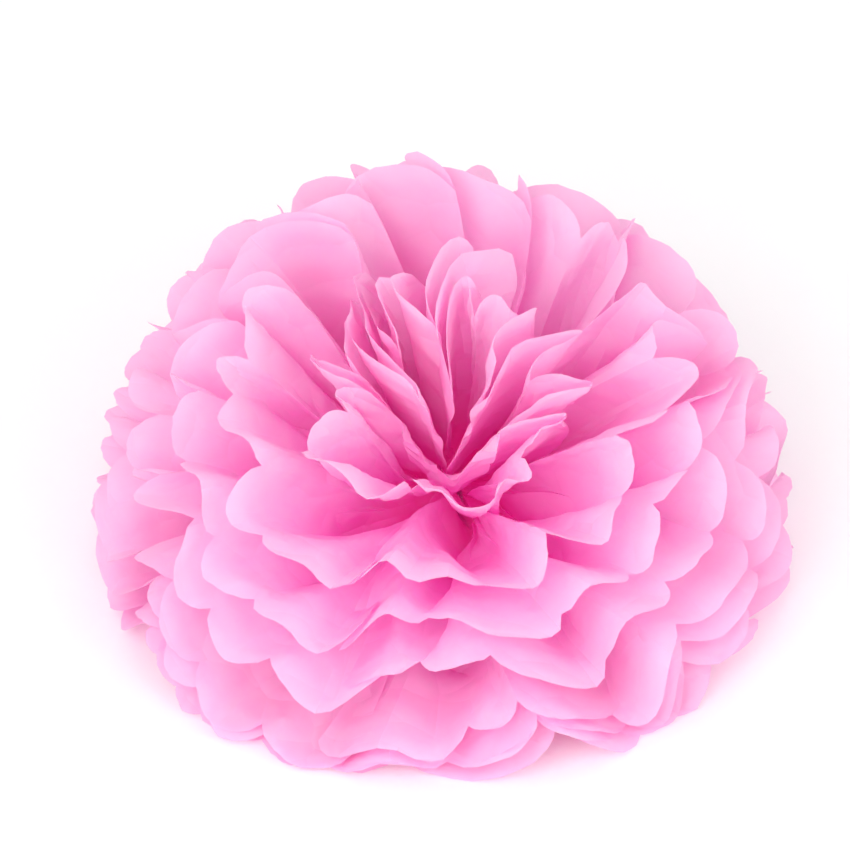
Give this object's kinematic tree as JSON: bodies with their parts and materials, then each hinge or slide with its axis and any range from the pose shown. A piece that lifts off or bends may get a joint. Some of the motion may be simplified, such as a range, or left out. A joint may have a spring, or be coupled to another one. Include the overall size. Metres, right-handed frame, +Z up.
{
  "type": "tissue paper pom pom",
  "caption": "Half-round paper flower of pleated tissue sheets tied at the middle, cut to round petals and fluffed upwards.",
  "frame": {"origin": "centre of the bounding box's bottom, on the surface that the lowest sheet rests on", "axes": "+Z up, out of the flower's heart; the pleats leave the tie along +X and -X; -Y is the flower's lower front"},
  "size_m": [0.3022, 0.3022, 0.1558],
  "materials": {
    "pink_tissue": "matte",
    "tie_wire": "satin"
  },
  "bodies": {
    "root": {"tissue_sheet_1": "pink_tissue", "tissue_sheet_2": "pink_tissue", "tissue_sheet_3": "pink_tissue", "tissue_sheet_4": "pink_tissue", "tissue_sheet_5": "pink_tissue", "tissue_sheet_6": "pink_tissue", "tissue_sheet_7": "pink_tissue", "tissue_sheet_8": "pink_tissue", "wire_tie": "tie_wire"}
  },
  "joints": []
}
